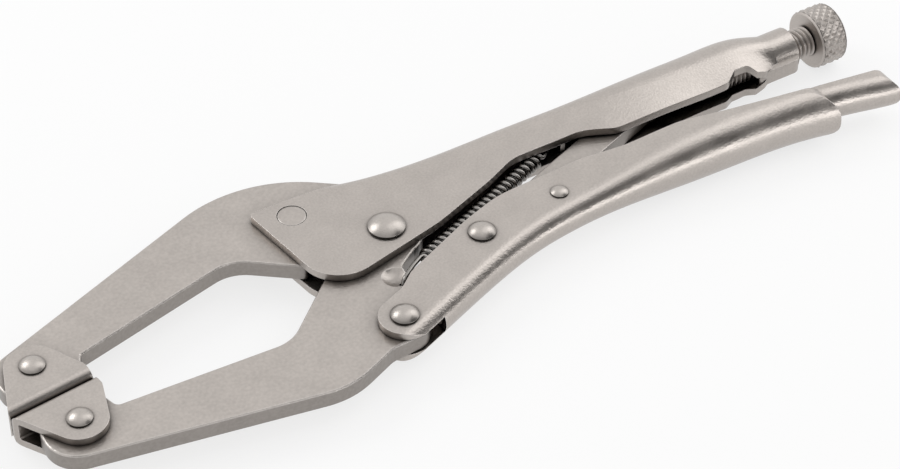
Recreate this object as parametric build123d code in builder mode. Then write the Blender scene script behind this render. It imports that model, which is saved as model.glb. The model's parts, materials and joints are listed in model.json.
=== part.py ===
from build123d import *

import math
import os

# Locking pliers with long open jaws and swivelling pads, lying on one side, jaws locked shut.
#
# Row frame: the origin is the middle of the closed pad faces, +X runs along the adjusting screw
# from the jaws to the knob, +Y points from the squeezed handle to the fixed handle and +Z is up
# out of the flat side. Outlines are drawn in the side plane, measured from the main pivot.
# All sizes are millimetres.

# ---- stock ----------------------------------------------------------------------------------
jaw_plate = 5.5          # flat bar that both jaws are cut from
sheet = 2.4              # pressed sheet of both handles
pad_sheet = 2.3          # folded sheet of the swivelling pads
lever_sheet = 1.2        # pressed sheet of the release lever
link_plate = 5.0         # flat bar of the toggle link
side_gap = 0.1           # play between a plate and the cheek beside it
pin_gap = 0.05           # running fit of a rivet in the piece that turns on it
seat_gap = 0.02          # a rivet or pin pressed into its own hole
head_gap = 0.05          # under a rivet head that covers a turning piece

cheek_in = jaw_plate / 2 + side_gap
cheek_out = cheek_in + sheet
pad_out = cheek_in + pad_sheet

# ---- where the pivots are, from the main pivot ---------------------------------------------
pivot_x = 110.25         # main pivot from the middle of the closed pads
pivot_y = 10.2
handle_pin = (-14.3, -34.0)
link_pin = (22.0, -16.2)
lever_pin = (50.2, -13.4)
screw_y = 10.8
nose_x = 96.0
jaw_pin = (-20.8, 18.2)
spring_hole = (-6.7, -20.4)

# ---- rivets ---------------------------------------------------------------------------------
main_shank, main_head, main_rise = 4.0, 5.5, 2.6
handle_shank, handle_head, handle_rise = 3.0, 4.1, 2.2
lever_shank, lever_head, lever_rise = 1.6, 2.7, 1.3
pad_shank, pad_head, pad_rise = 2.6, 3.65, 1.8
jaw_pin_radius, jaw_pin_edge = 4.35, 0.25

# ---- jaws and pads --------------------------------------------------------------------------
hub_radius = 10.4        # round end of the lower jaw on the main pivot
lobe_radius = 7.0        # round end of the lower jaw on the handle rivet
hub_clear = 1.2          # between that hub and the tongue of the upper jaw
nose_reach = 8.3         # jaw tip from its rivet towards the web of the pad
pad_tilt = 5.3           # angle of the gripping faces to the screw
pad_reach = 12.3         # pad rivet from the middle plane between the faces
pad_shift = 1.2          # pad rivet from the middle of its face
pad_face = 12.9          # half the length of a gripping face
pad_dome = 7.9           # round end of a pad cheek
pad_gap = 0.4            # between the two faces when locked shut
pad_end = 4.5            # straight rear end of a pad's cheeks beside its face
pad_toe = 1.0            # the same at the front, where the cheeks slant back at once
pad_corner = 1.8
pad_bend = 3.0           # outer bend of a pad
dish_radius, dish_depth = 4.0, 1.4
dish_from_hole = (-0.5, 3.2)
hook_hole = 1.15
jaw_edge = 0.35          # broken edges of both jaws

# ---- handles --------------------------------------------------------------------------------
ear_radius = 7.5         # front ears of the squeezed handle
tube_half = 8.4          # widest half width of both handles
collar_radius = 6.8      # where the fixed handle closes round the screw
collar_start, collar_end = 142.0, 150.5
fin_half = 2.4           # the two pinched edges under the collar
fin_front = 132.5
lip_y = 1.7              # lower edges of the fixed handle along its slot
handle_end = 143.0       # rear end of the squeezed handle
end_round = 6.5          # how that end is rounded off, seen from behind its back
back_front = -4.0        # where the squeezed handle's back wall starts

# ---- screw and knob -------------------------------------------------------------------------
screw_radius = 4.9
thread_gap = 0.1
screw_tip = 104.0
tip_chamfer = 1.2
knob_front, knob_end = 158.2, 167.8
knob_radius = 9.5
knob_chamfer, knob_round = 1.0, 1.6
stem_radius = 3.0        # screw stem inside the knob
stem_recess = 0.8

# ---- toggle link, lever and spring ----------------------------------------------------------
link_half = 4.4          # half width of the toggle link
nose_round = 5.0         # round nose of the link behind the screw tip
lever_end = 166.2
lever_room = 0.35        # between the lever and the inside of the squeezed handle
lever_ear = 2.4          # round front end of the lever
lever_round = 4.8        # how its tail is rounded off, seen from behind its back
spring_start = (4.4, -12.8)
spring_radius, wire_radius = 2.65, 0.65
rear_hook_reach = 9.6    # from the last coil to the tab
tab_front, tab_sheet = 65.2, 1.6
tab_y, tab_half, tab_hole = 10.8, 2.2, 1.0

nose = (nose_x, screw_y)
side = Plane(origin=(pivot_x, pivot_y, 0))
behind = Plane(origin=(pivot_x, 0, 0), x_dir=(1, 0, 0), z_dir=(0, -1, 0))
beyond = 30.0            # past every surface of the tool, for cuts that go right through


def across(x):
    """The plane square to the screw at x; its own x points to the fixed handle, its y up."""
    return Plane(origin=(pivot_x + x, pivot_y, 0), x_dir=(0, 1, 0), z_dir=(1, 0, 0))


def upright(spot):
    """A plane through the vertical line at a spot, for shapes that are turned about that line."""
    return Plane(origin=(pivot_x + spot[0], pivot_y + spot[1], 0), x_dir=(1, 0, 0), z_dir=(0, -1, 0))


def vertical(spot):
    """The vertical line through a spot."""
    return Axis((pivot_x + spot[0], pivot_y + spot[1], 0), (0, 0, 1))


def from_grip(along, out):
    """A spot given along and out from the middle of the closed pads, measured from the pivot."""
    turn = math.radians(pad_tilt)
    return (
        -pivot_x + along * math.cos(turn) - out * math.sin(turn),
        -pivot_y + along * math.sin(turn) + out * math.cos(turn),
    )


def near(spot, dx, dy):
    """The spot shifted by dx and dy."""
    return (spot[0] + dx, spot[1] + dy)


def on_dome(corner, radius):
    """Where the straight edge from a corner touches a round end of that radius about (0, 0)."""
    turn = math.atan2(corner[1], corner[0])
    swing = math.acos(radius / math.hypot(corner[0], corner[1]))
    swing = math.copysign(swing, -corner[0])
    return (radius * math.cos(turn + swing), radius * math.sin(turn + swing))


def widened(spread):
    """Half width of a handle: 0 is its flat cheeks, 1 its full tube."""
    return cheek_out + spread * (tube_half - cheek_out)


upper_tip = from_grip(pad_shift, pad_reach)
lower_tip = from_grip(pad_shift, -pad_reach)


def channel(x, crown, half, lean, foot):
    """Section of a pressed channel at x: a round back about crown and two sides to the foot line.

    The back faces away from the foot. Each side leans in by lean degrees from where the round ends.
    """
    away = 1 if crown > foot else -1
    turn = math.radians(lean)
    shoulder_y = crown - away * half * math.sin(turn)
    shoulder_z = half * math.cos(turn)
    foot_z = shoulder_z - abs(shoulder_y - foot) * math.tan(turn)
    with BuildSketch(across(x)) as section:
        with BuildLine():
            ThreePointArc((shoulder_y, -shoulder_z), (crown + away * half, 0), (shoulder_y, shoulder_z))
            Polyline(
                (shoulder_y, shoulder_z), (foot, foot_z), (foot, -foot_z), (shoulder_y, -shoulder_z)
            )
        make_face()
    return section.sketch


def rivet(name, spot, shank, head, rise, seat):
    """A rivet with a domed head at each end; seat is the height of the face under a head."""
    dome = rise * 0.75
    ball = (head * head + dome * dome) / (2 * dome)
    half_turn = math.asin(head / ball) / 2
    top = seat + rise
    between = (ball * math.sin(half_turn), top - ball + ball * math.cos(half_turn))
    with BuildPart() as piece:
        with BuildSketch(upright(spot)):
            with BuildLine():
                Polyline((0, top), (0, -top))
                ThreePointArc((0, -top), (between[0], -between[1]), (head, dome - top))
                Polyline(
                    (head, dome - top), (head, -seat), (shank, -seat), (shank, seat), (head, seat),
                    (head, top - dome),
                )
                ThreePointArc((head, top - dome), between, (0, top))
            make_face()
        revolve(axis=vertical(spot))
    piece.part.label = name
    return piece


# ---- fixed handle: flat cheeks that widen into a slotted tube and close round the screw --------
# Each row is x, crown of the round back, half width, lean of the sides.
fixed_rows = [
    (-36.0, 34.0, cheek_out, 0),
    (-14.0, 26.5, cheek_out, 0),
    (0.0, 20.4, cheek_out, 0),
    (14.0, 18.1, cheek_out, 0),
    (32.0, 17.1, cheek_out, 0),
    (52.0, 17.1, cheek_out, 0),
    (68.0, 16.8, cheek_out, 0),
    (80.0, 15.2, widened(0.37), 5),
    (92.0, 13.9, widened(0.72), 11),
    (106.0, 13.0, widened(0.94), 17),
    (118.0, 12.7, tube_half, 20),
    (130.0, 12.5, tube_half, 20),
]
fixed_foot = -18.0
slot_foot = lip_y - 1.4
pinch_crown = 12.0
pinch_half = (tube_half + collar_radius) / 2
pinch_lean = 30
# the two sides stop just before their inner faces would meet
pinch_foot = pinch_crown - (pinch_half - sheet) / math.sin(math.radians(pinch_lean)) + 0.4
pinch = (136.5, pinch_crown, pinch_half, pinch_lean, pinch_foot)
collar_row = (collar_start, screw_y, collar_radius, 50, 4.0)


def fixed_foot_at(x):
    """Lower end of the section at x, always below the edge that the outline leaves."""
    return fixed_foot if x < 70 else slot_foot - max(0.0, 86.0 - x) * 0.6


with BuildPart() as fixed_handle:
    outer = [channel(*row, fixed_foot_at(row[0])) for row in fixed_rows]
    loft(sections=outer + [channel(*pinch), channel(*collar_row)])
    # the back wall starts over the main pivot; ahead of it the two cheeks stand apart
    with BuildSketch(across(fixed_rows[0][0] - 1)):
        Rectangle(200, 2 * cheek_in)
    extrude(amount=-fixed_rows[0][0] + 1, mode=Mode.SUBTRACT)
    inner = [
        channel(x, crown, half - sheet, lean, fixed_foot_at(x) - 1)
        for x, crown, half, lean in fixed_rows
        if x >= 0
    ]
    inner.append(channel(pinch[0], pinch[1], pinch[2] - sheet, pinch[3], pinch[4]))
    loft(sections=inner, mode=Mode.SUBTRACT)
    with BuildSketch(side):
        with BuildLine():
            FilletPolyline(
                (-31.2, 25.2), (-25.6, -14.6), (14, -6.2), (36, 1.6), (46.5, 6.3), (70.5, 6.3),
                (80.5, lip_y), (121.4, lip_y), (125.6, 4.5), (130.6, 4.5), (fin_front, lip_y),
                (collar_end, lip_y), (collar_end, 30), (0, 30), (0, 24.3),
                radius=[1.5, 12, 40, 30, 16, 14, 9, 3, 2.2, 1.8, 0, 0, 0, 0, 0],
                close=True,
            )
        make_face()
    extrude(amount=beyond, both=True, mode=Mode.INTERSECT)
    # the collar, and the two edges of the sheet pinched together under it
    with BuildSketch(across(collar_start)):
        with Locations((screw_y, 0)):
            Circle(collar_radius)
    extrude(amount=collar_end - collar_start)
    with BuildSketch(side):
        with BuildLine():
            FilletPolyline(
                (fin_front, lip_y + 0.3), (collar_end - 0.4, lip_y + 0.3),
                (collar_end - 0.4, screw_y - 5.5), (fin_front + 4, screw_y - 5.5),
                radius=[1.0, 3.0, 0, 0],
                close=True,
            )
        make_face()
    extrude(amount=fin_half, both=True)
    # the tab lanced down from the back for the spring
    with BuildSketch(across(tab_front)):
        with Locations(((tab_y - 2.4 + 20) / 2, 0)):
            Rectangle(20 - tab_y + 2.4, 2 * tab_half)
        with Locations((tab_y, 0)):
            Circle(tab_hole, mode=Mode.SUBTRACT)
    extrude(amount=tab_sheet)
    with BuildSketch(across(pinch[0] - 4)):
        with Locations((screw_y, 0)):
            Circle(screw_radius + thread_gap)
    extrude(amount=collar_end - pinch[0] + 5, mode=Mode.SUBTRACT)
    with BuildSketch(side.offset(-beyond)):
        with Locations((0, 0)):
            Circle(main_shank + seat_gap)
        with Locations(jaw_pin):
            Circle(jaw_pin_radius + seat_gap)
    extrude(amount=2 * beyond, mode=Mode.SUBTRACT)
fixed_handle.part.label = "fixed_handle"


# ---- upper jaw: pinned between the cheeks, its tongue runs round the hub of the lower jaw --------
nose_out = pad_reach - nose_reach

with BuildPart() as upper_jaw:
    with BuildSketch(side):
        with BuildLine():
            FilletPolyline(
                (-120.6, 9.5), (-24.6, 44.4), (-0.8, 25.8), (-0.8, 20.7), (14, 18.2), (14, 4),
                (0, 8), (-13, 8), (-26.4, -0.2), (-43.7, 13.4), (-96.2, 1.5), from_grip(11.1, nose_out),
                from_grip(-9.9, nose_out),
                radius=[9, 42, 0, 0.6, 1.0, 1.0, 0, 0, 1.5, 12, 1.2, 5, 7.5],
                close=True,
            )
        make_face()
        Circle(hub_radius + hub_clear, mode=Mode.SUBTRACT)
    extrude(amount=jaw_plate / 2, both=True)
    chamfer(upper_jaw.faces().filter_by(Axis.Z).edges(), length=jaw_edge)
    with BuildSketch(side.offset(-beyond)):
        with Locations(upper_tip):
            Circle(pad_shank + pin_gap)
        with Locations(jaw_pin):
            Circle(jaw_pin_radius + seat_gap)
    extrude(amount=2 * beyond, mode=Mode.SUBTRACT)
upper_jaw.part.label = "upper_jaw"

# ---- lower jaw: hub on the main pivot, lobe on the handle rivet, straight nose -------------------
with BuildPart() as lower_jaw:
    with BuildSketch(side):
        Circle(hub_radius)
        with Locations(handle_pin):
            Circle(lobe_radius)
        with BuildLine():
            FilletPolyline(
                (-119.5, -31.9), (-39, -48.2), (-22.5, -41.4), (-14.5, -41.0), (-7.4, -34), (-4.5, -22),
                (-3.3, -14.1), (4.5, -9.0), (0, 0), (-7.1, 7.6), (-44.5, -24.2), (-96.5, -20.9),
                from_grip(11.3, -nose_out), from_grip(-8.6, -nose_out),
                radius=[10, 25, 8, 0, 0, 8, 2.5, 0, 0, 0, 12, 2, 5, 7],
                close=True,
            )
        make_face()
    extrude(amount=jaw_plate / 2, both=True)
    chamfer(lower_jaw.faces().filter_by(Axis.Z).edges(), length=jaw_edge)
    with BuildSketch(side.offset(-beyond)):
        Circle(main_shank + pin_gap)
        with Locations(handle_pin):
            Circle(handle_shank + pin_gap)
        with Locations(lower_tip):
            Circle(pad_shank + pin_gap)
        with Locations(spring_hole):
            Circle(hook_hole)
    extrude(amount=2 * beyond, mode=Mode.SUBTRACT)
    # a shallow dish pressed in each face beside the spring's hook
    dish_ball = (dish_radius * dish_radius + dish_depth * dish_depth) / (2 * dish_depth)
    dish = near(spring_hole, *dish_from_hole)
    dish_z = jaw_plate / 2 + dish_ball - dish_depth
    with Locations(
        (pivot_x + dish[0], pivot_y + dish[1], dish_z), (pivot_x + dish[0], pivot_y + dish[1], -dish_z)
    ):
        Sphere(dish_ball, mode=Mode.SUBTRACT)
lower_jaw.part.label = "lower_jaw"


# ---- swivelling pads: a folded strip round each jaw tip -----------------------------------------
def swivel_pad(name, tip, turn, middle, front):
    """A pad whose face looks along its own y; middle is the middle of the face from the rivet.

    front is 1 where the front of the tool lies along the pad's own x, and -1 where it lies behind.
    """
    top = pad_reach - pad_gap / 2
    toe = (middle + front * pad_face, top - pad_toe)
    heel = (middle - front * pad_face, top - pad_end)
    spin = math.radians(turn)
    along = Vector(math.cos(spin), math.sin(spin), 0)
    at = Vector(pivot_x + tip[0], pivot_y + tip[1], 0)
    with BuildPart() as piece:
        with BuildSketch(Plane(origin=at - along * beyond, x_dir=(0, 0, -1), z_dir=along)):
            with BuildLine():
                FilletPolyline(
                    (-pad_out, -beyond), (-pad_out, top), (pad_out, top), (pad_out, -beyond),
                    radius=[pad_bend, pad_bend],
                )
                Polyline((pad_out, -beyond), (-pad_out, -beyond))
            make_face()
            with BuildLine():
                FilletPolyline(
                    (-cheek_in, -beyond), (-cheek_in, top - pad_sheet), (cheek_in, top - pad_sheet),
                    (cheek_in, -beyond),
                    radius=[pad_bend - pad_sheet, pad_bend - pad_sheet],
                )
                Polyline((cheek_in, -beyond), (-cheek_in, -beyond))
            make_face(mode=Mode.SUBTRACT)
        extrude(amount=2 * beyond)
        with BuildSketch(Plane(origin=at, x_dir=along, z_dir=(0, 0, 1))):
            with BuildLine():
                FilletPolyline(
                    (toe[0], top), toe, on_dome(toe, pad_dome), (0, 0), on_dome(heel, pad_dome), heel,
                    (heel[0], top),
                    radius=[0, 0.4, 0, 0, 0, pad_corner, 0],
                    close=True,
                )
            make_face()
            Circle(pad_dome)
        extrude(amount=beyond, both=True, mode=Mode.INTERSECT)
        with BuildSketch(Plane(origin=at - Vector(0, 0, beyond), x_dir=along, z_dir=(0, 0, 1))):
            Circle(pad_shank + seat_gap)
        extrude(amount=2 * beyond, mode=Mode.SUBTRACT)
    piece.part.label = name
    return piece


upper_pad = swivel_pad("upper_pad", upper_tip, 180 + pad_tilt, pad_shift, 1)
lower_pad = swivel_pad("lower_pad", lower_tip, pad_tilt, -pad_shift, -1)

# ---- squeezed handle: flat ears that widen into an open half tube --------------------------------
lower_rows = [
    (-26.0, -41.6, cheek_out, 0),
    (-12.0, -37.0, cheek_out, 0),
    (back_front, -33.9, cheek_out, 0),
    (12.0, -27.7, cheek_out, 0),
    (24.0, -23.4, cheek_out, 0),
    (36.0, -20.0, cheek_out, 0),
    (48.0, -18.0, cheek_out, 0),
    (60.0, -16.8, widened(0.06), 0),
    (75.0, -15.4, widened(0.43), 0),
    (93.0, -14.4, widened(0.90), 0),
    (110.0, -14.6, tube_half, 0),
    (130.0, -15.9, tube_half, 0),
    (handle_end + 1, -18.6, tube_half, 0),
]


def lower_foot_at(x):
    """Upper end of the section at x, always above the edge that the outline leaves."""
    return 0.0 if x < 70 else 0.0 - min(x - 70, 40) * 0.2


with BuildPart() as lower_handle:
    loft(sections=[channel(*row, lower_foot_at(row[0])) for row in lower_rows])
    with BuildSketch(across(lower_rows[0][0] - 1)):
        Rectangle(200, 2 * cheek_in)
    extrude(amount=back_front - lower_rows[0][0] + 1, mode=Mode.SUBTRACT)
    hollow = [
        channel(x, crown, half - sheet, lean, lower_foot_at(x) + 1)
        for x, crown, half, lean in lower_rows
        if x >= back_front
    ]
    loft(sections=hollow, mode=Mode.SUBTRACT)
    with BuildSketch(side):
        with BuildLine():
            FilletPolyline(
                (-17.2, -27.1), (-9.2, -24.1), (-3.6, -19.7), (21, -9.4), (34, -5.4), (62, -4.3),
                (78, -7.6), (96, -8.4), (110, -11.4), (handle_end, -17.0), (handle_end, -50),
                (2, -50), (-8, -41.4), (-14.3, -41.5), handle_pin,
                radius=[0, 8, 8, 30, 30, 40, 30, 30, 20, 0, 0, 0, 0, 0, 0],
                close=True,
            )
        make_face()
        with Locations(handle_pin):
            Circle(ear_radius)
    extrude(amount=beyond, both=True, mode=Mode.INTERSECT)
    # the open rear end, rounded off as it is seen from behind the back
    with BuildSketch(behind):
        with Locations((handle_end / 2 - 40, 0)):
            RectangleRounded(handle_end + 80, 2 * tube_half, end_round)
    extrude(amount=beyond * 2, both=True, mode=Mode.INTERSECT)
    with BuildSketch(side.offset(-beyond)):
        with Locations(handle_pin, link_pin):
            Circle(handle_shank + seat_gap)
        with Locations(lever_pin):
            Circle(lever_shank + seat_gap)
    extrude(amount=2 * beyond, mode=Mode.SUBTRACT)
lower_handle.part.label = "lower_handle"

# ---- toggle link: a flat bar from the squeezed handle to the tip of the screw --------------------
link_turn = math.degrees(math.atan2(nose[1] - link_pin[1], nose[0] - link_pin[0]))
link_length = math.hypot(nose[0] - link_pin[0], nose[1] - link_pin[1])

with BuildPart() as toggle_link:
    with BuildSketch(side):
        with Locations(Location((link_pin[0], link_pin[1], 0), (0, 0, link_turn))):
            with Locations((link_length / 2, 0)):
                Rectangle(link_length, 2 * link_half)
        with Locations(link_pin):
            Circle(link_half)
        with Locations(nose):
            Circle(nose_round)
    extrude(amount=link_plate / 2, both=True)
    with BuildSketch(side.offset(-beyond)):
        with Locations(link_pin):
            Circle(handle_shank + pin_gap)
    extrude(amount=2 * beyond, mode=Mode.SUBTRACT)
toggle_link.part.label = "toggle_link"

# ---- release lever: a narrow open channel inside the squeezed handle -----------------------------
lever_inset = sheet + lever_room
lever_rows = [
    (46.0, -13.7, widened(0) - lever_inset, 0),
    (57.0, -14.2, widened(0) - lever_inset, 0),
    (75.0, -13.9, widened(0.43) - lever_inset, 0),
    (95.0, -13.6, widened(0.90) - lever_inset, 0),
    (118.0, -14.5, tube_half - lever_inset, 0),
    (142.0, -15.8, tube_half - lever_inset, 0),
    (152.0, -17.6, tube_half - lever_inset, 0),
    (lever_end + 2, -20.8, tube_half - lever_inset, 0),
]
lever_foot = -2.0

with BuildPart() as release_lever:
    loft(sections=[channel(*row, lever_foot) for row in lever_rows])
    hollow = [
        channel(x, crown, half - lever_sheet, lean, lever_foot + 1)
        for x, crown, half, lean in lever_rows
    ]
    loft(sections=hollow, mode=Mode.SUBTRACT)
    with BuildSketch(side):
        with BuildLine():
            FilletPolyline(
                (lever_pin[0] - 0.3, lever_pin[1] + lever_ear), (56.5, -10.4), (59.5, -7.7), (65, -7.7),
                (72, -9.6), (142, -14.1), (lever_end, -17.8), (lever_end, -40),
                (lever_pin[0], -40), (lever_pin[0] - 1.2, lever_pin[1] - 2.1), lever_pin,
                radius=[0, 1.5, 1.5, 3, 6, 30, 1.5, 0, 0, 0, 0],
                close=True,
            )
        make_face()
        with Locations(lever_pin):
            Circle(lever_ear)
    extrude(amount=beyond, both=True, mode=Mode.INTERSECT)
    with BuildSketch(behind):
        with Locations(((lever_end + lever_pin[0]) / 2 - beyond, 0)):
            RectangleRounded(
                lever_end - lever_pin[0] + 2 * beyond, 2 * (tube_half - lever_inset), lever_round
            )
    extrude(amount=beyond * 2, both=True, mode=Mode.INTERSECT)
    with BuildSketch(side.offset(-beyond)):
        with Locations(lever_pin):
            Circle(lever_shank + pin_gap)
    extrude(amount=2 * beyond, mode=Mode.SUBTRACT)
release_lever.part.label = "release_lever"

# ---- adjusting screw and its knob: the thread and the knurl are left to the finished surface -----
along_screw = Plane(origin=(pivot_x, pivot_y + screw_y, 0), x_dir=(1, 0, 0), z_dir=(0, 0, 1))
screw_axis = Axis((pivot_x, pivot_y + screw_y, 0), (1, 0, 0))

with BuildPart() as adjusting_screw:
    with BuildSketch(along_screw):
        with BuildLine():
            Polyline(
                (screw_tip, 0), (screw_tip, screw_radius - tip_chamfer),
                (screw_tip + tip_chamfer, screw_radius), (knob_front - seat_gap, screw_radius),
                (knob_front - seat_gap, stem_radius), (knob_end - stem_recess, stem_radius),
                (knob_end - stem_recess, 0), (screw_tip, 0),
            )
        make_face()
    revolve(axis=screw_axis)
adjusting_screw.part.label = "adjusting_screw"

with BuildPart() as knurled_knob:
    with BuildSketch(along_screw):
        with BuildLine():
            FilletPolyline(
                (knob_front, stem_radius + seat_gap), (knob_front, knob_radius - knob_chamfer),
                (knob_front + knob_chamfer, knob_radius), (knob_end, knob_radius),
                (knob_end, stem_radius + seat_gap),
                radius=[0, 0, 0, knob_round, 0],
                close=True,
            )
        make_face()
    revolve(axis=screw_axis)
knurled_knob.part.label = "knurled_knob"

# ---- return spring: the coils stand as one sleeve, with the two hooked ends as plain wire --------
tab_at = Vector(pivot_x + tab_front, pivot_y + tab_y, 0)
coil_from = Vector(pivot_x + spring_start[0], pivot_y + spring_start[1], 0)
coil_way = (tab_at - coil_from).normalized()
coil_length = (tab_at - coil_from).length - rear_hook_reach
coil_to = coil_from + coil_way * coil_length
coil_top = spring_radius - wire_radius
hook_at = Vector(pivot_x + spring_hole[0], pivot_y + spring_hole[1], 0)
hook_z = jaw_plate / 2 + wire_radius + 0.15

with BuildPart() as return_spring:
    with BuildSketch(Plane(origin=coil_from, z_dir=coil_way)):
        Circle(spring_radius)
        Circle(spring_radius - 2 * wire_radius, mode=Mode.SUBTRACT)
    extrude(amount=coil_length)
    with BuildLine() as front_hook:
        FilletPolyline(
            coil_from + coil_way * 1.0 + Vector(0, 0, coil_top),
            coil_from - coil_way * 1.5 + Vector(0, 0, coil_top),
            hook_at + Vector(2.6, 2.2, hook_z),
            hook_at + Vector(0, 0, hook_z),
            hook_at + Vector(0, 0, -1.2),
            radius=[1.0, 1.5, 0.9],
        )
    with BuildSketch(Plane(origin=front_hook.line @ 0, z_dir=front_hook.line % 0)):
        Circle(wire_radius)
    sweep(path=front_hook.line)
    with BuildLine() as rear_hook:
        FilletPolyline(
            coil_to - coil_way * 1.0 + Vector(0, 0, coil_top),
            coil_to + coil_way * 1.5 + Vector(0, 0, coil_top),
            tab_at - Vector(2.6, 0, 0),
            tab_at + Vector(tab_sheet + 1.6, 0, 0),
            radius=[1.0, 1.5],
        )
    with BuildSketch(Plane(origin=rear_hook.line @ 0, z_dir=rear_hook.line % 0)):
        Circle(wire_radius)
    sweep(path=rear_hook.line)
return_spring.part.label = "return_spring"

# ---- rivets and the flush pin of the upper jaw ---------------------------------------------------
main_pivot_rivet = rivet(
    "main_pivot_rivet", (0, 0), main_shank, main_head, main_rise, cheek_out + seat_gap
)
handle_rivet = rivet(
    "handle_rivet", handle_pin, handle_shank, handle_head, handle_rise, cheek_out + seat_gap
)
link_rivet = rivet(
    "link_rivet", link_pin, handle_shank, handle_head, handle_rise, cheek_out + seat_gap
)
lever_rivet = rivet(
    "lever_rivet", lever_pin, lever_shank, lever_head, lever_rise, cheek_out + seat_gap
)
upper_pad_rivet = rivet(
    "upper_pad_rivet", upper_tip, pad_shank, pad_head, pad_rise, pad_out + seat_gap
)
lower_pad_rivet = rivet(
    "lower_pad_rivet", lower_tip, pad_shank, pad_head, pad_rise, pad_out + seat_gap
)

with BuildPart() as jaw_rivet:
    with BuildSketch(side):
        with Locations(jaw_pin):
            Circle(jaw_pin_radius)
    extrude(amount=cheek_out, both=True)
    chamfer(jaw_rivet.edges().filter_by(GeomType.CIRCLE), length=jaw_pin_edge)
jaw_rivet.part.label = "jaw_rivet"

# ---- write every piece ---------------------------------------------------------------------------
pieces = [
    fixed_handle, upper_jaw, jaw_rivet, main_pivot_rivet, lower_jaw, upper_pad, upper_pad_rivet,
    lower_pad, lower_pad_rivet, lower_handle, handle_rivet, toggle_link, link_rivet, release_lever,
    lever_rivet, adjusting_screw, knurled_knob, return_spring,
]
os.makedirs("parts", exist_ok=True)
for piece in pieces:
    export_step(piece.part, "parts/" + piece.part.label + ".step")
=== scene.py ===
import json
import math

import bpy
from mathutils import Matrix, Vector


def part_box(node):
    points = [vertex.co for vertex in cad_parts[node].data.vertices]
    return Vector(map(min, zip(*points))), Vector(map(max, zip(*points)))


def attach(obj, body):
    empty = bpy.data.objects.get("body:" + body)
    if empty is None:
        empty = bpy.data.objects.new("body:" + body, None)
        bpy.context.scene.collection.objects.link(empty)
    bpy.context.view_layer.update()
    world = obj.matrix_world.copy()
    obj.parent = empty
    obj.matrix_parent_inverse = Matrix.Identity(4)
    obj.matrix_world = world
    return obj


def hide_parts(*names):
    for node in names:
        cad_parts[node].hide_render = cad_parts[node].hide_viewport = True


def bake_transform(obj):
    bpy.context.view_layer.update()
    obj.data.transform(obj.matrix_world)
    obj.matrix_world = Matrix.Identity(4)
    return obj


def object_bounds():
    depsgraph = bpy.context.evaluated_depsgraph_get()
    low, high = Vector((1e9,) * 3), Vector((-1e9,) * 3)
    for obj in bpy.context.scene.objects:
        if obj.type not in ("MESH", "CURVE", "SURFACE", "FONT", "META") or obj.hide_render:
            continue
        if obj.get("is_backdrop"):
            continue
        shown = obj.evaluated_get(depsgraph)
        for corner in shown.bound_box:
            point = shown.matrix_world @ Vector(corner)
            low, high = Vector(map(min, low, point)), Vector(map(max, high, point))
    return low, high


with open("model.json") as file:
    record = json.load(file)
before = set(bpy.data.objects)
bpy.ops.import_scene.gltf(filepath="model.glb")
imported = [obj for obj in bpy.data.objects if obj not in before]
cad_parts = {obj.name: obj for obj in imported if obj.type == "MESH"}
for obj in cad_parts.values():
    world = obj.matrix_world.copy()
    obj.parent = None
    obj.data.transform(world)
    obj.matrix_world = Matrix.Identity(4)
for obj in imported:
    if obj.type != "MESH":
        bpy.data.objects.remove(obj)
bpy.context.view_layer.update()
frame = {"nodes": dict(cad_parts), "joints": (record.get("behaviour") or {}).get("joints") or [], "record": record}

bl_info = {
    "name": "Locking Pliers Surface",
    "version": (1, 0, 0),
    "blender": (4, 5, 0),
    "location": "View3D > Sidebar > Pliers",
    "description": "Thread, knurl, spring wire and nickel plate for long-reach locking pliers",
    "category": "Object",
}

MM = 0.001

# what each finish covers; a sheet also tells which of its faces get painted shade: those turned to the given side,
# and for the pads those that stand upright
SHEET_SHADED_FACES = {
    "fixed_handle": (0.0, -1.0, 0.0),
    "lower_handle": (0.0, 1.0, 0.0),
    "release_lever": (0.0, 1.0, 0.0),
    "upper_pad": "upright",
    "lower_pad": "upright",
}
BAR_NODES = ("upper_jaw", "lower_jaw", "toggle_link", "jaw_rivet")
RIVET_NODES = (
    "main_pivot_rivet", "handle_rivet", "link_rivet",
    "lever_rivet", "upper_pad_rivet", "lower_pad_rivet",
)
TURNED_NODES = ("adjusting_screw", "knurled_knob")

# the plate: its darkest and lightest share of the colour, how far shine and haze leave the mean
# roughness, how high the grain stands, how fast an edge counts as worn and painted lighter as a highlight, and how
# much smoother it is
MOTTLE_DARK, MOTTLE_LIGHT = 0.84, 1.14
SHINE, HAZE = 0.05, 0.06
GRAIN_HEIGHT = 0.05 * MM
EDGE_WEAR_HIGHLIGHT, EDGE_SHINE = 5.0, 0.10

# the thread's outline over one pitch: (share of the pitch, 0 at the root and 1 at the crest)
THREAD_OUTLINE = ((0.0, 0), (0.14, 0), (0.44, 1), (0.56, 1), (0.86, 0), (1.0, 0))
THREAD_STEPS = 36

# the return spring, from the main pivot: where its coils start, its hole in the lower jaw, its tab
COIL_START = (4.4 * MM, -12.8 * MM, 0.0)
HOOK_HOLE = (-6.7 * MM, -20.4 * MM, 0.0)
TAB_EYE = (65.2 * MM, 10.8 * MM, 0.0)
COIL_STEPS = 20

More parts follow.
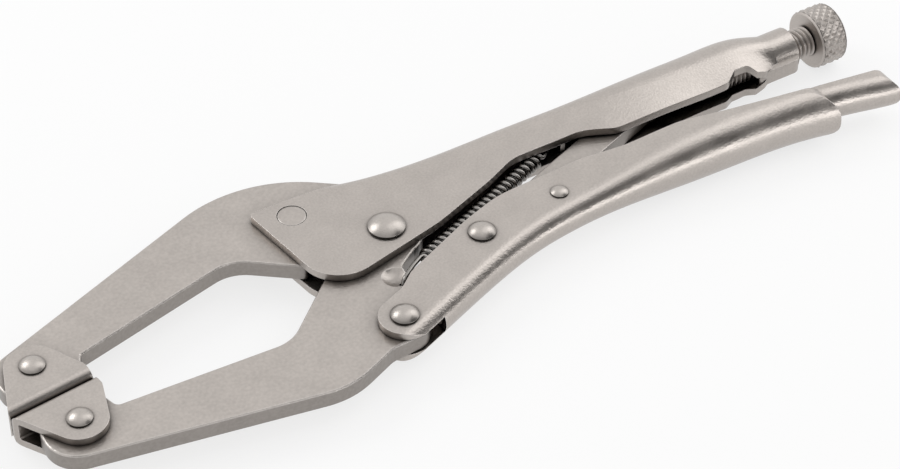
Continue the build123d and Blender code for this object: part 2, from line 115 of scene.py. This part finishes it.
# the studio, in metres: lamps and dark cards stand round the point that the camera aims at, the
# floor lies just under the tool, and it and the world are white to the eye but dimmer as lights
AIM = Vector((0.1269, 0.0027, 0.0))
CAMERA_PLACE = Vector((-0.1845, -0.5015, 0.5374))
CAMERA_LENS, CAMERA_SENSOR = 111.4, 36.0
LAMPS = (  # name, place, width and height, power
    ("left lamp", (-0.40, 0.60, 0.60), (0.4, 0.4), 1.6),
    ("right lamp", (0.80, 0.05, 0.55), (0.7, 0.7), 1.6),
    ("front lamp", (0.45, -1.00, 0.13), (1.0, 0.2), 1.9),
    ("top lamp", (0.42, 0.10, 1.00), (0.5, 0.5), 0.4),
)
CARDS = (  # place, width and height
    ((0.64, -0.66, 0.62), (1.1, 1.0)),
    ((-0.60, -0.90, 0.80), (1.0, 0.6)),
)
FLOOR_SIZE = 6.0
FLOOR_GAP = 0.05 * MM
FLOOR_GLOW = 0.74
FILL_LIGHT = 0.74


# ---- places worked out from the frame -----------------------------------------------------------
def middle(node):
    """Middle of a CAD node's box at rest."""
    low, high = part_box(node)
    return (low + high) / 2


def joint_point(name):
    """The point a joint turns about."""
    found = [joint for joint in frame["joints"] if joint["name"] == name]
    return Vector(found[0]["pos_m"])


def facing_aim(place):
    """Turn of a lamp, a card or the camera at a place so that it faces the aim."""
    return (AIM - Vector(place)).to_track_quat("-Z", "Y").to_euler()


def screw_pitch():
    """Travel of the adjusting screw for one turn of the knob."""
    couplings = frame["record"]["behaviour"]["couplings"]
    found = [coupling for coupling in couplings if coupling["joint"] == "knob_turn"]
    return 2 * math.pi / found[0]["ratio"]


# ---- small modelling helpers --------------------------------------------------------------------
def clear_selection():
    """Nothing selected and no active object."""
    if bpy.context.object and bpy.context.object.mode != "OBJECT":
        bpy.ops.object.mode_set(mode="OBJECT")
    bpy.ops.object.select_all(action="DESELECT")
    bpy.context.view_layer.objects.active = None


def select_only(*objects):
    """These objects selected, the first one active."""
    clear_selection()
    for obj in objects:
        obj.select_set(True)
    bpy.context.view_layer.objects.active = objects[0]


def edit(obj):
    """Opens a mesh for editing with nothing selected."""
    select_only(obj)
    bpy.ops.object.mode_set(mode="EDIT")
    bpy.ops.mesh.select_all(action="DESELECT")


def leave_edit():
    """Back to object mode."""
    bpy.ops.object.mode_set(mode="OBJECT")


def pick_edges(obj, wanted):
    """In edit mode, with nothing selected yet, selects the edges whose middle meets a test."""
    bpy.ops.mesh.select_mode(type="EDGE")
    leave_edit()
    points = obj.data.vertices
    for line in obj.data.edges:
        a, b = (points[i].co for i in line.vertices)
        line.select = wanted((a + b) / 2)
    bpy.ops.object.mode_set(mode="EDIT")


def tidy_mesh(obj, distance=1e-6):
    """Merges doubles and turns every face outwards."""
    edit(obj)
    bpy.ops.mesh.select_all(action="SELECT")
    bpy.ops.mesh.remove_doubles(threshold=distance)
    bpy.ops.mesh.normals_make_consistent(inside=False)
    leave_edit()


def settle(obj):
    """Bakes an object's place, turn and size into its mesh."""
    select_only(obj)
    bpy.ops.object.transform_apply(location=True, rotation=True, scale=True)


def apply_all(obj):
    """Applies every modifier, from the top."""
    select_only(obj)
    for modifier in list(obj.modifiers):
        bpy.ops.object.modifier_apply(modifier=modifier.name)


def smooth(obj, angle):
    """Smooth shading that keeps corners sharper than the angle."""
    select_only(obj)
    bpy.ops.object.shade_smooth_by_angle(angle=math.radians(angle))


# ---- node groups --------------------------------------------------------------------------------
def new_group(name, inputs, outputs):
    """An empty shader node group with its sockets; inputs are (name, socket type, default)."""
    group = bpy.data.node_groups.new(name, "ShaderNodeTree")
    for title, kind, value in inputs:
        made = group.interface.new_socket(name=title, in_out="INPUT", socket_type=kind)
        if value is not None:
            made.default_value = value
    for title, kind in outputs:
        group.interface.new_socket(name=title, in_out="OUTPUT", socket_type=kind)
    start = group.nodes.new("NodeGroupInput")
    end = group.nodes.new("NodeGroupOutput")
    start.location, end.location = (-900, 0), (500, 0)
    return group, start, end


def math_node(tree, operation, first, second=None, clamp=False):
    """A Math node; its inputs are sockets or plain numbers."""
    node = tree.nodes.new("ShaderNodeMath")
    node.operation = operation
    node.use_clamp = clamp
    for socket, value in zip(node.inputs, (first, second)):
        if value is None:
            continue
        if isinstance(value, (int, float)):
            socket.default_value = value
        else:
            tree.links.new(value, socket)
    return node.outputs[0]


def noise(tree, vector, scale, detail, rough):
    """A noise texture's value on given coordinates, at a scale that a socket gives."""
    node = tree.nodes.new("ShaderNodeTexNoise")
    node.inputs["Detail"].default_value = detail
    node.inputs["Roughness"].default_value = rough
    tree.links.new(scale, node.inputs["Scale"])
    tree.links.new(vector, node.inputs["Vector"])
    return node.outputs["Fac"]


def spread(tree, value, low, high, least=0.0, most=1.0):
    """A value between low and high stretched over least to most."""
    node = tree.nodes.new("ShaderNodeMapRange")
    node.inputs["From Min"].default_value = low
    node.inputs["From Max"].default_value = high
    node.inputs["To Min"].default_value = least
    node.inputs["To Max"].default_value = most
    tree.links.new(value, node.inputs["Value"])
    return node.outputs["Result"]


def plated_grain_group():
    """Fine tumbled grain of plated steel: a mottle for colour, a value for roughness, a height."""
    group, start, end = new_group(
        "Plated grain",
        [
            ("Vector", "NodeSocketVector", None),
            ("Grain", "NodeSocketFloat", 1600.0),
            ("Cloud", "NodeSocketFloat", 120.0),
        ],
        [("Mottle", "NodeSocketFloat"), ("Polish", "NodeSocketFloat"), ("Height", "NodeSocketFloat")],
    )
    vector = start.outputs["Vector"]
    fine = spread(group, noise(group, vector, start.outputs["Grain"], 1.0, 0.5), 0.25, 0.75)
    cloud = noise(group, vector, start.outputs["Cloud"], 3.0, 0.55)
    fine_share = math_node(group, "MULTIPLY", fine, 0.45)
    cloud_share = math_node(group, "MULTIPLY", cloud, 0.55)
    mixed = math_node(group, "ADD", fine_share, cloud_share)
    group.links.new(mixed, end.inputs["Mottle"])
    group.links.new(cloud, end.inputs["Polish"])
    group.links.new(fine, end.inputs["Height"])
    return group


def worn_highlight_edge_group():
    """Rounded edges: a softened normal, and a mask of where the surface turns over an edge."""
    group, start, end = new_group(
        "Worn highlighted edges",
        [("Radius", "NodeSocketFloat", 0.3 * MM)],
        [("Normal", "NodeSocketVector"), ("Edge", "NodeSocketFloat")],
    )
    bevel = group.nodes.new("ShaderNodeBevel")
    bevel.samples = 4
    group.links.new(start.outputs["Radius"], bevel.inputs["Radius"])
    geometry = group.nodes.new("ShaderNodeNewGeometry")
    dot = group.nodes.new("ShaderNodeVectorMath")
    dot.operation = "DOT_PRODUCT"
    group.links.new(bevel.outputs["Normal"], dot.inputs[0])
    group.links.new(geometry.outputs["Normal"], dot.inputs[1])
    turned = math_node(group, "SUBTRACT", 1.0, dot.outputs["Value"], clamp=True)
    worn = math_node(group, "MULTIPLY", turned, EDGE_WEAR_HIGHLIGHT, clamp=True)
    group.links.new(worn, end.inputs["Edge"])
    group.links.new(bevel.outputs["Normal"], end.inputs["Normal"])
    return group


def corner_shade_group():
    """Painted shade: darker plate in corners round rivets and joints, and in the hollow inside of a channel."""
    group, start, end = new_group(
        "Corner shade",
        [("Near", "NodeSocketFloat", 1.1 * MM), ("Deep", "NodeSocketFloat", 7.0 * MM)],
        [("Open", "NodeSocketFloat")],
    )
    shares = []
    for reach, power in (("Near", 0.7), ("Deep", 0.9)):
        shade = group.nodes.new("ShaderNodeAmbientOcclusion")
        shade.samples = 6
        group.links.new(start.outputs[reach], shade.inputs["Distance"])
        shares.append(math_node(group, "POWER", shade.outputs["AO"], power))
    group.links.new(math_node(group, "MULTIPLY", *shares), end.inputs["Open"])
    return group


def face_shade_group():
    """Masks for painted shade on faces: those turned to one side, and those that stand upright."""
    group, start, end = new_group(
        "Painted face shade",
        [
            ("Normal", "NodeSocketVector", None),
            ("Side", "NodeSocketVector", (0.0, 0.0, 0.0)),
            ("Flat", "NodeSocketFloat", 0.75),
            ("Steep", "NodeSocketFloat", 0.35),
        ],
        [("Turned", "NodeSocketFloat"), ("Upright", "NodeSocketFloat")],
    )
    dot = group.nodes.new("ShaderNodeVectorMath")
    dot.operation = "DOT_PRODUCT"
    group.links.new(start.outputs["Normal"], dot.inputs[0])
    group.links.new(start.outputs["Side"], dot.inputs[1])
    split = group.nodes.new("ShaderNodeSeparateXYZ")
    group.links.new(start.outputs["Normal"], split.inputs[0])
    rise = math_node(group, "ABSOLUTE", split.outputs["Z"])
    flat, steep = start.outputs["Flat"], start.outputs["Steep"]
    spans = ((dot.outputs["Value"], steep, flat, "Turned"), (rise, flat, steep, "Upright"))
    for value, none, full, out in spans:
        span = group.nodes.new("ShaderNodeMapRange")
        span.interpolation_type = "SMOOTHSTEP"
        group.links.new(none, span.inputs["From Min"])
        group.links.new(full, span.inputs["From Max"])
        group.links.new(value, span.inputs["Value"])
        group.links.new(span.outputs["Result"], end.inputs[out])
    return group


def place_group(tree, name):
    """A node group placed in a material's nodes."""
    node = tree.nodes.new("ShaderNodeGroup")
    node.node_tree = bpy.data.node_groups[name]
    return node


def plated_material(
    name, color, rough, grain, bump, edge_radius, edge_wear_highlight=0.12, shade_faces=None, shade_strength=0.0, deep=7.0 * MM,
):
    """Plated steel, mottled by the grain, with painted shade in its corners and a lighter colour
    along its edges that is partly wear and partly painted highlight.

    The face choice picks the faces that get painted shade: those that stand "upright", those round
    the "rim" of a rivet head, those that turn to a side, or none. The shade strength is how much
    darker they are painted, and deep is how far into a hollow the painted corner shade reaches.
    """
    material = bpy.data.materials.new(name)
    material.use_nodes = True
    tree = material.node_tree
    shader = tree.nodes["Principled BSDF"]
    shader.inputs["Metallic"].default_value = 1.0
    coords = tree.nodes.new("ShaderNodeTexCoord")
    grained = place_group(tree, "Plated grain")
    grained.inputs["Grain"].default_value = grain
    tree.links.new(coords.outputs["Object"], grained.inputs["Vector"])
    edges = place_group(tree, "Worn highlighted edges")
    edges.inputs["Radius"].default_value = edge_radius

    mottled = tree.nodes.new("ShaderNodeMix")
    mottled.data_type = "RGBA"
    mottled.inputs["A"].default_value = (*[c * MOTTLE_DARK for c in color], 1)
    mottled.inputs["B"].default_value = (*[min(1.0, c * MOTTLE_LIGHT) for c in color], 1)
    tree.links.new(grained.outputs["Mottle"], mottled.inputs["Factor"])
    # edges are painted lighter: partly wear, partly a painted highlight
    wear_highlighted = tree.nodes.new("ShaderNodeMix")
    wear_highlighted.data_type = "RGBA"
    wear_highlighted.inputs["B"].default_value = (*[min(1.0, c + edge_wear_highlight) for c in color], 1)
    tree.links.new(edges.outputs["Edge"], wear_highlighted.inputs["Factor"])
    tree.links.new(mottled.outputs["Result"], wear_highlighted.inputs["A"])

    # painted shade: the plate colour is darkened in corners and hollows
    shade = place_group(tree, "Corner shade")
    shade.inputs["Deep"].default_value = deep
    light = shade.outputs["Open"]
    # painted shade on the chosen faces, multiplied into the colour
    if shade_faces:
        face_shade = place_group(tree, "Painted face shade")
        tree.links.new(coords.outputs["Normal"], face_shade.inputs["Normal"])
        if shade_faces == "rim":
            face_shade.inputs["Flat"].default_value = 0.97
            face_shade.inputs["Steep"].default_value = 0.66
        elif shade_faces != "upright":
            face_shade.inputs["Side"].default_value = shade_faces
        mask = face_shade.outputs["Upright" if shade_faces in ("upright", "rim") else "Turned"]
        share = math_node(tree, "SUBTRACT", 1.0, math_node(tree, "MULTIPLY", mask, shade_strength))
        light = math_node(tree, "MULTIPLY", light, share)
    shaded = tree.nodes.new("ShaderNodeVectorMath")
    shaded.operation = "SCALE"
    tree.links.new(wear_highlighted.outputs["Result"], shaded.inputs[0])
    tree.links.new(light, shaded.inputs["Scale"])
    tree.links.new(shaded.outputs["Vector"], shader.inputs["Base Color"])

    polish = spread(tree, grained.outputs["Polish"], 0.25, 0.75, rough - SHINE, rough + HAZE)
    worn = math_node(tree, "MULTIPLY", edges.outputs["Edge"], EDGE_SHINE)
    tree.links.new(math_node(tree, "SUBTRACT", polish, worn), shader.inputs["Roughness"])

    relief = tree.nodes.new("ShaderNodeBump")
    relief.inputs["Strength"].default_value = bump
    relief.inputs["Distance"].default_value = GRAIN_HEIGHT
    tree.links.new(grained.outputs["Height"], relief.inputs["Height"])
    tree.links.new(edges.outputs["Normal"], relief.inputs["Normal"])
    tree.links.new(relief.outputs["Normal"], shader.inputs["Normal"])
    return material


def dress(node, material):
    """Gives a CAD node its finish."""
    obj = frame["nodes"][node]
    if not obj.material_slots:
        obj.data.materials.append(material)
    for held in obj.material_slots:
        held.material = material


# ---- settings -----------------------------------------------------------------------------------
class PliersFinish(bpy.types.PropertyGroup):
    """Colours and surface of the plated steel."""

    plate_color: bpy.props.FloatVectorProperty(
        name="Plate", description="Colour of the satin nickel plate", subtype="COLOR",
        default=(0.47, 0.432, 0.402), min=0, max=1,
    )
    rivet_color: bpy.props.FloatVectorProperty(
        name="Rivets", description="Colour of the smoother rivet heads", subtype="COLOR",
        default=(0.47, 0.435, 0.405), min=0, max=1,
    )
    turned_color: bpy.props.FloatVectorProperty(
        name="Turned steel", description="Colour of the adjusting screw and its knob", subtype="COLOR",
        default=(0.50, 0.46, 0.43), min=0, max=1,
    )
    wire_color: bpy.props.FloatVectorProperty(
        name="Spring wire", description="Colour of the oiled spring wire", subtype="COLOR",
        default=(0.30, 0.285, 0.27), min=0, max=1,
    )
    plate_rough: bpy.props.FloatProperty(
        name="Plate roughness", description="How matt the satin plate is", subtype="FACTOR",
        default=0.32, min=0, max=1,
    )
    edge_radius: bpy.props.FloatProperty(
        name="Edge radius", description="Rounding of the edges of sheets and rivets", unit="LENGTH",
        default=0.22 * MM,
    )
    bar_edge_radius: bpy.props.FloatProperty(
        name="Bar edge radius", description="Rounding of the edges of jaws and link", unit="LENGTH",
        default=0.55 * MM,
    )


class PliersShapes(bpy.types.PropertyGroup):
    """Sizes of the thread, the knurl and the spring wire."""

    thread_depth: bpy.props.FloatProperty(
        name="Thread depth", description="From crest to root of the screw thread", unit="LENGTH",
        default=0.8 * MM,
    )
    knurl_cells: bpy.props.IntProperty(
        name="Knurl cells", description="Knurl points in one ring round the knob", default=46,
    )
    knurl_depth: bpy.props.FloatProperty(
        name="Knurl depth", description="Height of the knurl points", unit="LENGTH", default=0.62 * MM,
    )
    wire_radius: bpy.props.FloatProperty(
        name="Wire radius", description="Radius of the spring wire", unit="LENGTH", default=0.72 * MM,
    )
    coil_pitch: bpy.props.FloatProperty(
        name="Coil pitch", description="Distance between two turns of the spring", unit="LENGTH",
        default=2.3 * MM,
    )


# ---- operators ----------------------------------------------------------------------------------
class PLIERS_OT_finishes(bpy.types.Operator):
    """Plated finishes on the handles, jaws, pads, link, lever and rivets"""

    bl_idname = "pliers.finishes"
    bl_label = "Plate the Steel"

    def execute(self, context):
        look = context.scene.pliers_finish
        plated_grain_group()
        worn_highlight_edge_group()
        corner_shade_group()
        face_shade_group()
        plate, turned = tuple(look.plate_color), tuple(look.turned_color)
        rough, edge = look.plate_rough, look.edge_radius
        # painted shade: each sheet is darker on its listed faces and in its hollows
        for node, shade_faces in SHEET_SHADED_FACES.items():
            relief = 0.3 if shade_faces == "upright" else 0.7
            sheet = plated_material(
                f"Satin sheet {node}", plate, rough, grain=1500.0, bump=relief,
                edge_radius=edge, edge_wear_highlight=0.3, shade_faces=shade_faces, shade_strength=0.08, deep=4.0 * MM,
            )
            dress(node, sheet)
        # painted shade: the upright faces of jaws and link are darker than their flat faces
        bar = plated_material(
            "Satin bar", plate, rough + 0.02, grain=1000.0, bump=0.5,
            edge_radius=look.bar_edge_radius, edge_wear_highlight=0.35, shade_faces="upright", shade_strength=0.36,
        )
        # painted shade: rivet heads are darker towards their rim and in the corner round them
        rivet = plated_material(
            "Rivet heads", tuple(look.rivet_color), 0.3, grain=2000.0, bump=0.1,
            edge_radius=edge, shade_faces="rim", shade_strength=0.6,
        )
        # painted shade: the thread, the knurl's pits and the inside of the coil are darkened in their hollows
        screw = plated_material(
            "Turned steel", turned, 0.42, grain=2600.0, bump=0.1, edge_radius=0.1 * MM, deep=0.8 * MM,
        )
        plated_material(
            "Knurled steel", turned, 0.34, grain=2600.0, bump=0.1, edge_radius=0.1 * MM, deep=5.0 * MM,
        )
        wire = plated_material(
            "Spring wire", tuple(look.wire_color), 0.22, grain=2600.0, bump=0.08,
            edge_radius=0.05 * MM, edge_wear_highlight=0.05, deep=2.5 * MM,
        )
        for material, nodes in (
            (bar, BAR_NODES), (rivet, RIVET_NODES), (screw, TURNED_NODES), (wire, ("return_spring",)),
        ):
            for node in nodes:
                dress(node, material)
        return {"FINISHED"}


class PLIERS_OT_screw_thread(bpy.types.Operator):
    """The adjusting screw with its real thread"""

    bl_idname = "pliers.screw_thread"
    bl_label = "Cut the Screw Thread"

    def execute(self, context):
        sizes = context.scene.pliers_shapes
        low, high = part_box("adjusting_screw")
        knob_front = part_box("knurled_knob")[0].x
        centre = middle("adjusting_screw")
        root = (high.y - low.y) / 2 - sizes.thread_depth
        pitch = screw_pitch()
        turns = math.ceil((knob_front - low.x) / pitch) + 2
        clear_selection()
        # one pitch of the thread's outline grows from a point and is wound along the screw
        bpy.ops.mesh.primitive_plane_add(size=MM, location=(low.x - pitch, centre.y, centre.z + root))
        thread = context.object
        thread.name = "screw_thread"
        settle(thread)
        edit(thread)
        bpy.ops.mesh.select_all(action="SELECT")
        bpy.ops.mesh.merge(type="CENTER")
        for before, after in zip(THREAD_OUTLINE, THREAD_OUTLINE[1:]):
            rise = (after[1] - before[1]) * sizes.thread_depth
            step = ((after[0] - before[0]) * pitch, 0, rise)
            bpy.ops.mesh.extrude_vertices_move(TRANSFORM_OT_translate={"value": step})
        leave_edit()
        axis = bpy.data.objects.new("screw axis", None)
        context.scene.collection.objects.link(axis)
        axis.location = centre
        winding = thread.modifiers.new("Thread", "SCREW")
        winding.axis = "X"
        winding.object = axis
        winding.screw_offset = pitch
        winding.iterations = turns
        winding.steps = winding.render_steps = THREAD_STEPS
        winding.use_merge_vertices = True
        winding.merge_threshold = 1e-6
        apply_all(thread)
        bpy.data.objects.remove(axis)
        edit(thread)
        for place, at_tip in ((low.x, True), (knob_front, False)):
            bpy.ops.mesh.select_all(action="SELECT")
            bpy.ops.mesh.bisect(
                plane_co=(place, 0, 0), plane_no=(1, 0, 0), use_fill=True,
                clear_inner=at_tip, clear_outer=not at_tip,
            )
        leave_edit()
        tidy_mesh(thread)
        settle(thread)
        smooth(thread, 30)
        thread.data.materials.append(bpy.data.materials["Turned steel"])
        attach(thread, "knob")
        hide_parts("adjusting_screw")
        return {"FINISHED"}


class PLIERS_OT_knob(bpy.types.Operator):
    """The knob with its turned face and diamond knurl"""

    bl_idname = "pliers.knob"
    bl_label = "Knurl the Knob"

    def turned(self, context, name, rings, segments):
        """A body turned about the screw's line from (x, radius) rings, closed at both ends."""
        centre = middle("knurled_knob")
        clear_selection()
        bpy.ops.mesh.primitive_circle_add(
            vertices=segments, radius=rings[0][1], fill_type="NGON",
            location=(rings[0][0], centre.y, centre.z), rotation=(0, math.pi / 2, 0),
        )
        body = context.object
        body.name = name
        settle(body)
        edit(body)
        bpy.ops.mesh.select_all(action="SELECT")
        bpy.ops.mesh.select_mode(type="EDGE")
        for before, after in zip(rings, rings[1:]):
            step, scale = after[0] - before[0], after[1] / before[1]
            bpy.ops.mesh.extrude_edges_move(TRANSFORM_OT_translate={"value": (step, 0, 0)})
            if scale != 1:
                bpy.ops.transform.resize(value=(1, scale, scale))
        bpy.ops.mesh.edge_face_add()
        leave_edit()
        tidy_mesh(body)
        return body

    def execute(self, context):
        sizes = context.scene.pliers_shapes
        low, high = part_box("knurled_knob")
        centre = middle("knurled_knob")
        front, back, radius = low.x, high.x, (high.y - low.y) / 2
        # the knurl's band, between a turned lip in front and a wider one at the back
        band_front, band_back = front + 0.5 * MM, back - 0.9 * MM
        band_middle, band_width = (band_front + band_back) / 2, band_back - band_front
        base = radius - sizes.knurl_depth
        body = self.turned(
            context, "knob_body",
            [
                # front face and its broken edge
                (front, 4.9 * MM), (front, radius - 1.0 * MM), (front + 0.25 * MM, radius - 0.6 * MM),
                # from the front lip into the band, and out on the back lip
                (band_front - 0.1 * MM, radius - 0.4 * MM), (band_front + 0.05 * MM, base),
                (band_back - 0.05 * MM, base), (band_back + 0.1 * MM, radius - 0.4 * MM),
                # the rounded back edge
                (back - 0.5 * MM, radius - 0.7 * MM), (back - 0.2 * MM, radius - 1.2 * MM),
                # back face and its shallow recess
                (back, radius - 1.9 * MM), (back, 3.4 * MM), (back - 0.7 * MM, 3.1 * MM),
            ],
            96,
        )
        smooth(body, 28)
        # the knurl: a band of squares turned into diamonds, each raised to a point
        clear_selection()
        cell = 2 * math.pi * base / sizes.knurl_cells
        rows = max(2, round(band_width / cell))
        rows -= rows % 2
        bpy.ops.mesh.primitive_cylinder_add(
            vertices=sizes.knurl_cells, radius=base, depth=band_width, end_fill_type="NOTHING",
            location=(band_middle, centre.y, centre.z), rotation=(0, math.pi / 2, 0),
        )
        knurl = context.object
        knurl.name = "knob_knurl"
        settle(knurl)
        edit(knurl)
        pick_edges(knurl, lambda c: abs(c.x - band_middle) < 0.01 * MM)
        bpy.ops.mesh.subdivide_edgering(number_cuts=rows - 1, interpolation="LINEAR", smoothness=0)
        bpy.ops.mesh.select_all(action="SELECT")
        bpy.ops.mesh.unsubdivide(iterations=1)
        bpy.ops.mesh.select_all(action="SELECT")
        bpy.ops.mesh.normals_make_consistent(inside=False)
        bpy.ops.mesh.poke(offset=sizes.knurl_depth * 0.9)
        leave_edit()
        smooth(knurl, 12)
        body.data.materials.append(bpy.data.materials["Turned steel"])
        knurl.data.materials.append(bpy.data.materials["Knurled steel"])
        select_only(body, knurl)
        bpy.ops.object.join()
        knob = context.object
        knob.name = "knob_turned"
        settle(knob)
        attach(knob, "knob")
        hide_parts("knurled_knob")
        return {"FINISHED"}


class PLIERS_OT_spring(bpy.types.Operator):
    """The return spring as wound wire with its two hooks"""

    bl_idname = "pliers.spring"
    bl_label = "Wind the Return Spring"

    def execute(self, context):
        sizes = context.scene.pliers_shapes
        pivot = joint_point("jaw_pivot")
        start, hole, tab = (pivot + Vector(place) for place in (COIL_START, HOOK_HOLE, TAB_EYE))
        way = (tab - start).normalized()
        across = Vector((0, 0, 1))
        side = way.cross(across)
        # the coils leave room for the rear hook, and keep their outer radius for any wire
        length = (tab - start).length - 9.6 * MM
        coil = 2.65 * MM - sizes.wire_radius
        count = int(length / sizes.coil_pitch * COIL_STEPS)
        coils = []
        for i in range(count + 1):
            angle = 2 * math.pi * i / COIL_STEPS
            turn = across * (coil * math.cos(angle)) + side * (coil * math.sin(angle))
            coils.append(start + way * (length * i / count) + turn)
        # the front hook comes up through its hole and over the jaw's face to the first coil
        face = Vector((0, 0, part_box("lower_jaw")[1].z))
        front_hook = [
            hole + Vector((0, 0, -1.0 * MM)),
            hole + face + Vector((0, 0, -0.2 * MM)),
            hole + face + Vector((0.5 * MM, 0.3 * MM, 0.75 * MM)),
            hole + face + Vector((2.4 * MM, 1.9 * MM, 0.8 * MM)),
            start - way * 2.2 * MM + across * (coil + 0.5 * MM),
            start - way * 0.6 * MM + across * coil,
        ]
        # the rear hook goes through the eye of the tab and turns up behind it
        end = coils[-1]
        rear_hook = [
            end + way * 0.8 * MM,
            end * 0.4 + tab * 0.6 + Vector((-1.5 * MM, 0, 0)),
            tab + Vector((-1.6 * MM, 0, 0)),
            tab + Vector((2.6 * MM, 0, 0)),
            tab + Vector((3.3 * MM, 0.9 * MM, 0)),
        ]
        clear_selection()
        bpy.ops.curve.primitive_nurbs_path_add(radius=1)
        wire = context.object
        wire.name = "spring_wire"
        wire.data.splines.clear()
        line = wire.data.splines.new("NURBS")
        route = front_hook + coils + rear_hook
        line.points.add(len(route) - 1)
        for point, place in zip(line.points, route):
            point.co = (*place, 1)
        line.order_u = 3
        line.use_endpoint_u = True
        line.resolution_u = 1
        wire.data.bevel_depth = sizes.wire_radius
        wire.data.bevel_resolution = 3
        wire.data.use_fill_caps = True
        wire.matrix_world = Matrix.Identity(4)
        select_only(wire)
        bpy.ops.object.convert(target="MESH")
        tidy_mesh(wire, 1e-7)
        settle(wire)
        smooth(wire, 60)
        wire.data.materials.append(bpy.data.materials["Spring wire"])
        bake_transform(wire)
        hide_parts("return_spring")
        return {"FINISHED"}


class PLIERS_OT_stage(bpy.types.Operator):
    """White floor, soft lights and the camera"""

    bl_idname = "pliers.stage"
    bl_label = "Set the Stage"

    def seen(self, tree):
        """1 for what the camera sees, straight or through a gloss or glass, else 0."""
        path = tree.nodes.new("ShaderNodeLightPath").outputs
        through = math_node(tree, "MAXIMUM", path["Is Glossy Ray"], path["Is Transmission Ray"])
        return math_node(tree, "MAXIMUM", path["Is Camera Ray"], through)

    def floor(self, context, level):
        """A wide white floor under the tool."""
        clear_selection()
        bpy.ops.mesh.primitive_plane_add(size=FLOOR_SIZE, location=(0.13, 0, level))
        ground = context.object
        ground.name = "floor"
        material = bpy.data.materials.new("White floor")
        material.use_nodes = True
        tree = material.node_tree
        shader = tree.nodes["Principled BSDF"]
        shader.inputs["Base Color"].default_value = (0.93, 0.93, 0.93, 1)
        shader.inputs["Roughness"].default_value = 0.9
        shader.inputs["Specular IOR Level"].default_value = 0.1
        white = tree.nodes.new("ShaderNodeEmission")
        blend = tree.nodes.new("ShaderNodeMixShader")
        tree.links.new(math_node(tree, "MULTIPLY", self.seen(tree), FLOOR_GLOW), blend.inputs["Fac"])
        tree.links.new(shader.outputs["BSDF"], blend.inputs[1])
        tree.links.new(white.outputs["Emission"], blend.inputs[2])
        tree.links.new(blend.outputs["Shader"], tree.nodes["Material Output"].inputs["Surface"])
        ground.data.materials.append(material)
        ground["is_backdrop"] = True

    def world(self, context):
        """White where the camera or a gloss sees it, and a plain fill on everything else."""
        world = bpy.data.worlds.new("White studio")
        context.scene.world = world
        world.use_nodes = True
        tree = world.node_tree
        shade = tree.nodes["Background"]
        shade.inputs["Color"].default_value = (1, 1, 1, 1)
        level = tree.nodes.new("ShaderNodeMix")
        level.data_type = "FLOAT"
        level.inputs["A"].default_value = FILL_LIGHT
        level.inputs["B"].default_value = 1.0
        tree.links.new(self.seen(tree), level.inputs["Factor"])
        tree.links.new(level.outputs["Result"], shade.inputs["Strength"])

    def card(self, context, offset, size):
        """A dark card that only polished steel shows, as the unlit side of a studio does."""
        clear_selection()
        bpy.ops.mesh.primitive_plane_add(size=1, location=AIM + Vector(offset))
        card = context.object
        card.name = "studio card"
        card.scale = (*size, 1)
        card.rotation_euler = facing_aim(card.location)
        material = bpy.data.materials.new("Card cloth")
        material.use_nodes = True
        cloth = material.node_tree.nodes["Principled BSDF"]
        cloth.inputs["Base Color"].default_value = (0.06, 0.06, 0.06, 1)
        card.data.materials.append(material)
        card.visible_camera = card.visible_diffuse = card.visible_shadow = False
        card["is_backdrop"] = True

    def lamp(self, context, name, offset, size, power):
        """A soft lamp of a width and height that faces the point the camera aims at."""
        clear_selection()
        bpy.ops.object.light_add(type="AREA", location=AIM + Vector(offset))
        lamp = context.object
        lamp.name = name
        lamp.data.shape = "RECTANGLE"
        lamp.data.size, lamp.data.size_y = size
        lamp.data.energy = power
        lamp.rotation_euler = facing_aim(lamp.location)

    def camera(self, context):
        """The product camera."""
        clear_selection()
        bpy.ops.object.camera_add(location=CAMERA_PLACE)
        camera = context.object
        camera.name = "product camera"
        camera.rotation_euler = facing_aim(CAMERA_PLACE)
        camera.data.sensor_width = CAMERA_SENSOR
        camera.data.lens = CAMERA_LENS
        camera.data.clip_start, camera.data.clip_end = 0.01, 20
        context.scene.camera = camera

    def execute(self, context):
        self.floor(context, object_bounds()[0].z - FLOOR_GAP)
        self.world(context)
        for name, offset, size, power in LAMPS:
            self.lamp(context, name, offset, size, power)
        for offset, size in CARDS:
            self.card(context, offset, size)
        self.camera(context)
        context.scene.view_settings.view_transform = "Standard"
        return {"FINISHED"}


class PLIERS_PT_panel(bpy.types.Panel):
    """Settings and steps of the pliers' surface"""

    bl_idname = "PLIERS_PT_panel"
    bl_label = "Locking Pliers"
    bl_space_type = "VIEW_3D"
    bl_region_type = "UI"
    bl_category = "Pliers"

    def draw(self, context):
        """Lists the settings and the steps."""
        layout = self.layout
        for settings in (context.scene.pliers_finish, context.scene.pliers_shapes):
            box = layout.box()
            for name in settings.__annotations__:
                box.prop(settings, name)
        for step in STEPS:
            layout.operator(step.bl_idname)


STEPS = (PLIERS_OT_finishes, PLIERS_OT_screw_thread, PLIERS_OT_knob, PLIERS_OT_spring, PLIERS_OT_stage)
CLASSES = (PliersFinish, PliersShapes, *STEPS, PLIERS_PT_panel)


def register():
    """Adds the classes and the settings."""
    for made in CLASSES:
        bpy.utils.register_class(made)
    bpy.types.Scene.pliers_finish = bpy.props.PointerProperty(type=PliersFinish)
    bpy.types.Scene.pliers_shapes = bpy.props.PointerProperty(type=PliersShapes)


def unregister():
    """Takes the settings and the classes away again."""
    del bpy.types.Scene.pliers_shapes
    del bpy.types.Scene.pliers_finish
    for made in reversed(CLASSES):
        bpy.utils.unregister_class(made)


def main():
    """Builds the surface over the CAD."""
    register()
    bpy.ops.pliers.finishes()
    bpy.ops.pliers.screw_thread()
    bpy.ops.pliers.knob()
    bpy.ops.pliers.spring()
    bpy.ops.pliers.stage()


if __name__ == "__main__":
    main()
